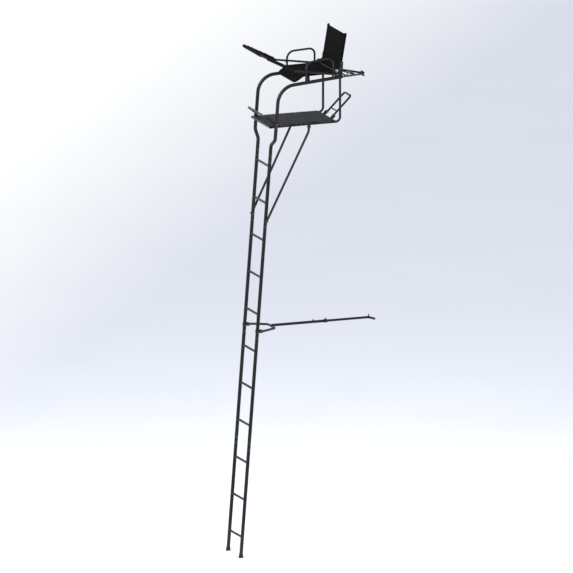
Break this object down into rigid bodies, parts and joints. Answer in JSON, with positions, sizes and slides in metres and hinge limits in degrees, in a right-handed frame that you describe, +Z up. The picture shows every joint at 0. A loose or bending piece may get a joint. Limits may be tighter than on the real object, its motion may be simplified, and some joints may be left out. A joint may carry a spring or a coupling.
{
  "type": "ladder tree stand",
  "caption": "Leaning sectional ladder stand for hanging on a tree, with mesh platform, folding mesh seat and backrest, armrests, flip-up padded rail, footrest and trunk stabilizer.",
  "frame": {"origin": "centre of the floor area that the whole stand covers, at ground level", "axes": "+X to the climber's right, +Y towards the tree, +Z up"},
  "size_m": [0.6598, 1.6094, 5.6919],
  "materials": {
    "powder_coated_steel": "satin powder coat",
    "expanded_steel_floor": "satin powder coat over expanded sheet",
    "zinc_black_fastener": "dark zinc",
    "black_rubber": "matte",
    "mesh_fabric": "woven coated mesh",
    "foam_padding": "stitched fabric over foam"
  },
  "bodies": {
    "stand": {"foot_caps": "black_rubber", "section_1_rails": "powder_coated_steel", "section_2_rails": "powder_coated_steel", "section_3_rails": "powder_coated_steel", "section_4_rails": "powder_coated_steel", "section_1_rungs": "powder_coated_steel", "section_2_rungs": "powder_coated_steel", "section_3_rungs": "powder_coated_steel", "section_4_rungs": "powder_coated_steel", "joint_sleeves": "zinc_black_fastener", "joint_fasteners": "zinc_black_fastener", "upright_left": "powder_coated_steel", "upright_right": "powder_coated_steel", "rail_end_caps": "black_rubber", "tree_bracket_left_arm": "powder_coated_steel", "tree_bracket_right_arm": "powder_coated_steel", "tree_bracket_cross_bars": "powder_coated_steel", "tree_bracket_tip_plate": "powder_coated_steel", "platform_left_tube": "powder_coated_steel", "platform_right_tube": "powder_coated_steel", "platform_front_bar": "powder_coated_steel", "platform_cross_bars": "powder_coated_steel", "platform_floor": "expanded_steel_floor", "platform_fasteners": "zinc_black_fastener", "platform_braces": "powder_coated_steel", "brace_tabs": "powder_coated_steel", "brace_fasteners": "zinc_black_fastener", "stabilizer_clamps": "powder_coated_steel", "stabilizer_pivot_bolts": "zinc_black_fastener", "footrest_bolts": "zinc_black_fastener", "footrest_stops": "black_rubber", "lower_brace_tabs": "powder_coated_steel", "lower_brace_bolts": "zinc_black_fastener", "hinge_plates": "powder_coated_steel", "seat_pivot_bolts": "zinc_black_fastener", "seat_rests": "powder_coated_steel", "backrest_posts": "powder_coated_steel", "backrest_bars": "powder_coated_steel", "backrest_post_caps": "black_rubber", "backrest_mesh": "mesh_fabric", "backrest_fasteners": "zinc_black_fastener", "left_armrest": "powder_coated_steel", "right_armrest": "powder_coated_steel", "shooting_rail_pivots": "zinc_black_fastener", "shooting_rail_rests": "powder_coated_steel"},
    "stabilizer": {"stabilizer_yoke": "powder_coated_steel", "stabilizer_outer_tube": "powder_coated_steel", "stabilizer_lock_screws": "zinc_black_fastener"},
    "stabilizer_slide": {"stabilizer_inner_tube": "powder_coated_steel", "stabilizer_claw": "powder_coated_steel"},
    "footrest": {"footrest_frame": "powder_coated_steel"},
    "lower_brace": {"lower_brace_frame": "powder_coated_steel"},
    "seat": {"seat_frame": "powder_coated_steel", "seat_rear_bar": "powder_coated_steel", "seat_hinge_lugs": "powder_coated_steel", "seat_mesh": "mesh_fabric"},
    "shooting_rail": {"shooting_rail_left_arm": "powder_coated_steel", "shooting_rail_right_arm": "powder_coated_steel", "shooting_rail_crossbar": "powder_coated_steel", "shooting_rail_pads": "foam_padding"}
  },
  "joints": [
    {"name": "stabilizer_swing", "type": "hinge", "parent": "stand", "child": "stabilizer", "pos_m": [0, -0.54937, 2.47169], "axis": [1, 0, 0], "range_deg": [-45, 70]},
    {"name": "stabilizer_extend", "type": "slide", "parent": "stabilizer", "child": "stabilizer_slide", "axis": [0, 1, 0], "range_m": [-0.38, 0.1]},
    {"name": "footrest_flip", "type": "hinge", "parent": "stand", "child": "footrest", "pos_m": [0, -0.41525, 4.755], "axis": [-1, 0, 0], "range_deg": [0, 134]},
    {"name": "lower_brace_swing", "type": "hinge", "parent": "stand", "child": "lower_brace", "pos_m": [0, 0.32475, 4.759], "axis": [1, 0, 0], "range_deg": [-40, 40]},
    {"name": "seat_flip", "type": "hinge", "parent": "stand", "child": "seat", "pos_m": [0, 0.29375, 5.286], "axis": [-1, 0, 0], "range_deg": [0, 80]},
    {"name": "shooting_rail_flip", "type": "hinge", "parent": "stand", "child": "shooting_rail", "pos_m": [0, 0.28475, 5.253], "axis": [-1, 0, 0], "range_deg": [0, 95]}
  ]
}
